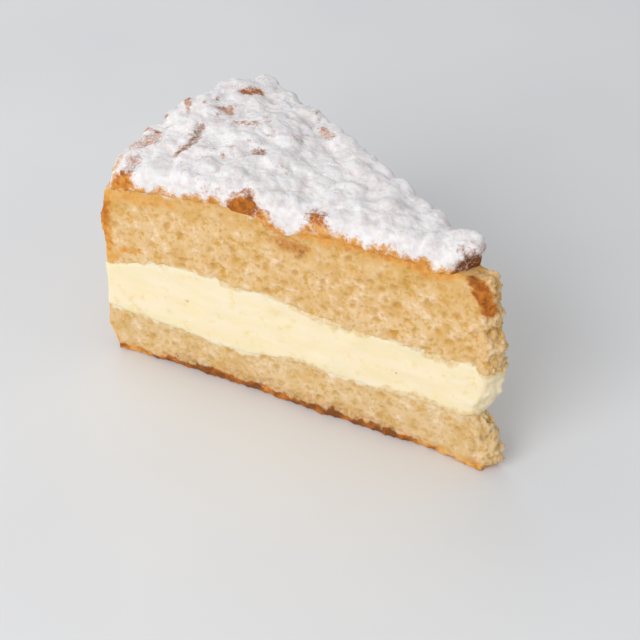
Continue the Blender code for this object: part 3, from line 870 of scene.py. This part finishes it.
def strewn(name, spots, smallest, largest, rough, sunk, seed):
    """Many small rough grains as one mesh, each sunk a little into the surface at its spot."""
    draw = random.Random(seed)
    pattern = bmesh.new()
    bmesh.ops.create_icosphere(pattern, subdivisions=1, radius=1.0)
    corners = [vert.co.copy() for vert in pattern.verts]
    faces = [[vert.index for vert in face.verts] for face in pattern.faces]
    pattern.free()
    points = []
    polygons = []
    for spot, normal in spots:
        size = smallest + (largest - smallest) * draw.random() ** MOSTLY_SMALL
        turn = Euler([draw.uniform(0.0, math.tau) for _ in range(3)]).to_matrix()
        stretch = Vector([draw.uniform(least, most) for least, most in GRAIN_STRETCH])
        first = len(points)
        middle = spot - normal * size * sunk
        for corner in corners:
            bulge = size * (1.0 + rough * draw.uniform(-1.0, 1.0))
            points.append(middle + turn @ (Vector(a * b for a, b in zip(corner, stretch)) * bulge))
        polygons.extend([first + index for index in face] for face in faces)
    data = bpy.data.meshes.new(name)
    data.from_pydata(points, [], polygons)
    data.shade_smooth()
    piece = bpy.data.objects.new(name, data)
    bpy.context.scene.collection.objects.link(piece)
    return piece


def sugar_material():
    """Plain white powder."""
    material, tree, shader = start_material("icing sugar", CLOT_ROUGHNESS, CLOT_GLOW_REACH, CLOT_GLOW)
    powder = speckle(tree, CLOT_FLECK_SIZE, 3.0, 0.7)
    sugar = ramp(tree, powder, ((0.30, CLOT_SHADE), (0.60, CLOT_COLOUR)))
    tree.links.new(sugar, shader.inputs["Base Color"])
    roughen(tree, shader, speckle(tree, CLOT_BUMP_SIZE, 3.0, 0.7), GRAIN_BUMP, GRAIN_BUMP_HEIGHT)
    return material


clot_draw = random.Random(CLOT_SEED)
sugar_note = topping.data.attributes["sugar"].data
snowy = [vert for vert in faces_up(topping, SNOWY_LOOKS_UP) if sugar_note[vert.index].value > SNOWY_COVER]
clot_spots = [(vert.co.copy(), vert.normal.copy()) for vert in clot_draw.sample(snowy, CLOT_COUNT)]
clots = strewn("icing_sugar_clots", clot_spots, CLOT_SMALLEST, CLOT_LARGEST, CLOT_RAGGED, CLOT_SUNK,
               CLOT_SEED + 1)
clots.data.materials.append(sugar_material())
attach(clots, "root")


# Crumbs on the cut faces: the knife pulls crumbs of sponge loose. They cling to both sponges, most of all
# where the tip broke off, and a few stick in the cream.

CRUMB_COUNT = 120
TORN_CRUMB_COUNT = 50
CREAM_CRUMB_COUNT = 6
CRUMB_SMALLEST, CRUMB_LARGEST = 0.00026, 0.00066
CRUMB_RAGGED, CRUMB_SUNK = 0.45, 0.55
CRUMBLY_FROM_X = 0.0565
CRUMB_SEED = 17
CUT_UPRIGHT_BELOW, CUT_LOOKS_BACK = 0.5, -0.3
CRUMB_ROUGHNESS, CRUMB_GLOW_REACH, CRUMB_GLOW = 0.9, 0.0012, 0.25
CRUMB_SHADE, CRUMB_COLOUR, CRUMB_FLECK_SIZE = (0.72, 0.46, 0.18), (0.82, 0.59, 0.32), 0.0016
CRUMB_BUMP_SIZE = 0.0005


def cut_places(piece):
    """Places on a piece's cut faces, clear of the wall and of the foot, each with its outward direction."""
    return [(vert.co.copy(), vert.normal.copy()) for vert in piece.data.vertices
            if abs(vert.normal.z) < CUT_UPRIGHT_BELOW and vert.normal.x > CUT_LOOKS_BACK
            and vert.co.z > FOOT_CLEARANCE]


def crumb_material():
    """Golden crumbs, a little paler than the face they cling to."""
    material, tree, shader = start_material("sponge crumbs", CRUMB_ROUGHNESS, CRUMB_GLOW_REACH, CRUMB_GLOW)
    flecks = speckle(tree, CRUMB_FLECK_SIZE, 2.0)
    colour = ramp(tree, flecks, ((0.35, CRUMB_SHADE), (0.62, CRUMB_COLOUR)))
    tree.links.new(colour, shader.inputs["Base Color"])
    roughen(tree, shader, speckle(tree, CRUMB_BUMP_SIZE, 3.0, 0.7), GRAIN_BUMP, GRAIN_BUMP_HEIGHT)
    return material


crumb_draw = random.Random(CRUMB_SEED)
sponge_places = cut_places(lower_sponge) + cut_places(upper_sponge)
torn_places = [spot for spot in sponge_places if spot[0].x > CRUMBLY_FROM_X]
crumb_spots = crumb_draw.sample(sponge_places, CRUMB_COUNT)
crumb_spots += crumb_draw.sample(cut_places(cream), CREAM_CRUMB_COUNT)
crumb_spots += crumb_draw.sample(torn_places, TORN_CRUMB_COUNT)
crumbs = strewn("clinging_crumbs", crumb_spots, CRUMB_SMALLEST, CRUMB_LARGEST, CRUMB_RAGGED, CRUMB_SUNK,
                CRUMB_SEED + 1)
crumbs.data.materials.append(crumb_material())
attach(crumbs, "root")


# The plain pale floor under the slice, the soft studio light, and the camera at the photograph's angle. The
# key light is a large soft box in front of the cut face, and a weaker one fills in from above the rim.

FLOOR_SIDE, FLOOR_HEIGHT = 3.0, -0.0002
FLOOR_ROUGHNESS = 0.6
FLOOR_SHADE, FLOOR_COLOUR, FLOOR_FLECK_SIZE = (0.76, 0.76, 0.765), (0.79, 0.79, 0.79), 0.08
KEY_AT, KEY_SIDE, KEY_POWER = (0.06, -0.95, 0.66), 0.80, 8.2
FILL_AT, FILL_SIDE, FILL_POWER = (-0.70, 0.20, 0.90), 0.80, 2.0
LIGHTS_LOOK_AT = (0.0, 0.0, 0.035)
WORLD_COLOUR, WORLD_STRENGTH = (0.93, 0.96, 1.0), 0.52
CAMERA_AT = (0.2175, -0.2436, 0.2817)
CAMERA_TURN = (51.249, 0.406, 41.767)
CAMERA_LENS = 84.375

bpy.ops.mesh.primitive_plane_add(size=FLOOR_SIDE, location=(0.0, 0.0, FLOOR_HEIGHT))
floor = bpy.context.object
floor.name = "floor"
floor_material, floor_tree, floor_shader = start_material("pale floor", FLOOR_ROUGHNESS, 0.001, 0.0)
floor_flecks = speckle(floor_tree, FLOOR_FLECK_SIZE, 2.0)
floor_colour = ramp(floor_tree, floor_flecks, ((0.3, FLOOR_SHADE), (0.7, FLOOR_COLOUR)))
floor_tree.links.new(floor_colour, floor_shader.inputs["Base Color"])
floor.data.materials.append(floor_material)


def soft_light(name, place, side, power, target):
    """A square soft box that looks at the target."""
    light = bpy.data.lights.new(name, "AREA")
    light.shape = "SQUARE"
    light.size = side
    light.energy = power
    lamp = bpy.data.objects.new(name, light)
    lamp.location = place
    lamp.rotation_euler = (Vector(target) - Vector(place)).to_track_quat("-Z", "Y").to_euler()
    bpy.context.scene.collection.objects.link(lamp)


soft_light("key light", KEY_AT, KEY_SIDE, KEY_POWER, LIGHTS_LOOK_AT)
soft_light("fill light", FILL_AT, FILL_SIDE, FILL_POWER, LIGHTS_LOOK_AT)
world = bpy.data.worlds.new("studio")
world.use_nodes = True
background = world.node_tree.nodes["Background"]
background.inputs["Color"].default_value = (*WORLD_COLOUR, 1.0)
background.inputs["Strength"].default_value = WORLD_STRENGTH
bpy.context.scene.world = world
bpy.context.scene.view_settings.view_transform = "Standard"

lens = bpy.data.cameras.new("camera")
lens.lens = CAMERA_LENS
camera = bpy.data.objects.new("camera", lens)
camera.location = CAMERA_AT
camera.rotation_euler = Euler([math.radians(angle) for angle in CAMERA_TURN])
bpy.context.scene.collection.objects.link(camera)
bpy.context.scene.camera = camera
